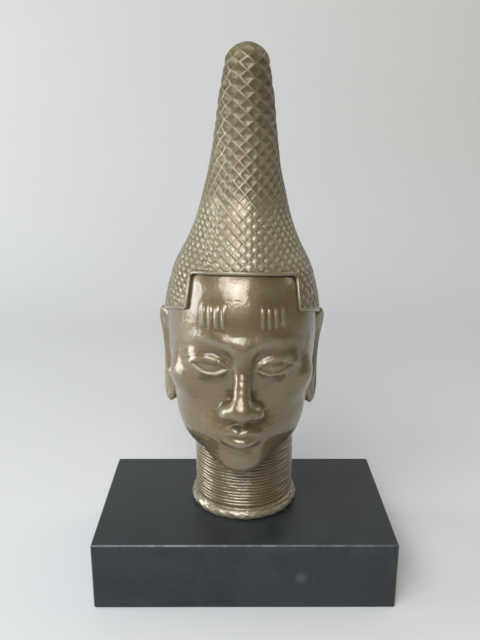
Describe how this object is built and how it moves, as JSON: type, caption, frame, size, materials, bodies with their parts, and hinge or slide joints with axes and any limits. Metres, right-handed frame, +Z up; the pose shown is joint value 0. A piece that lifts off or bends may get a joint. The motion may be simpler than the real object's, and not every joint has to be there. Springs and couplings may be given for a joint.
{
  "type": "bronze head sculpture",
  "caption": "Cast bronze head of a queen with a tall pointed latticed cap, forehead marks and a ringed collar, on a low rectangular plinth.",
  "frame": {"origin": "middle of the plinth's underside", "axes": "+Z up through the cap's tip, -Y where the face looks, +X to the right of a viewer who faces it"},
  "size_m": [0.26, 0.1829, 0.4634],
  "materials": {
    "bronze": "satin lacquered brown patina",
    "plinth_paint": "satin dark slate paint"
  },
  "bodies": {
    "root": {"queen_head": "bronze", "plinth": "plinth_paint"}
  },
  "joints": []
}
